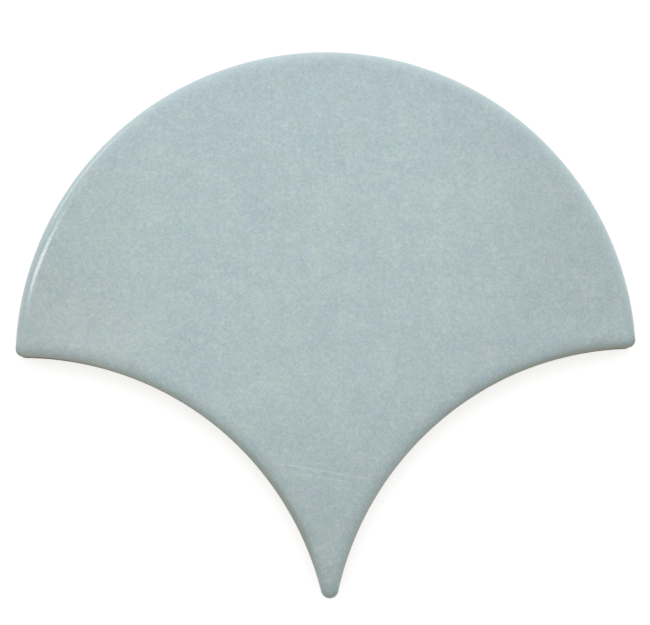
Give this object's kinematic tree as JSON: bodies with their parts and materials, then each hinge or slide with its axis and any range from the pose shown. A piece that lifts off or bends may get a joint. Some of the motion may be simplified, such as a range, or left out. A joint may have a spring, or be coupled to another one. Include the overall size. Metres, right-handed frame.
{
  "type": "fish scale tile",
  "caption": "Glazed ceramic wall tile shaped as a fish scale: round crown, hollow flanks and a pointed tip, so that the tiles nest course by course.",
  "frame": {"origin": "centre of the tile's box, on the plane of its back", "axes": "+Z out of the glazed face, +Y from the tip to the top of the crown, +X across the shoulders; the tile lies on its back"},
  "size_m": [0.12, 0.106, 0.009],
  "materials": {
    "glazed_tile": "glossy mottled grey-blue glaze on the face, bare biscuit on the lower wall and the back"
  },
  "bodies": {
    "root": {"fish_scale_tile": "glazed_tile"}
  },
  "joints": []
}
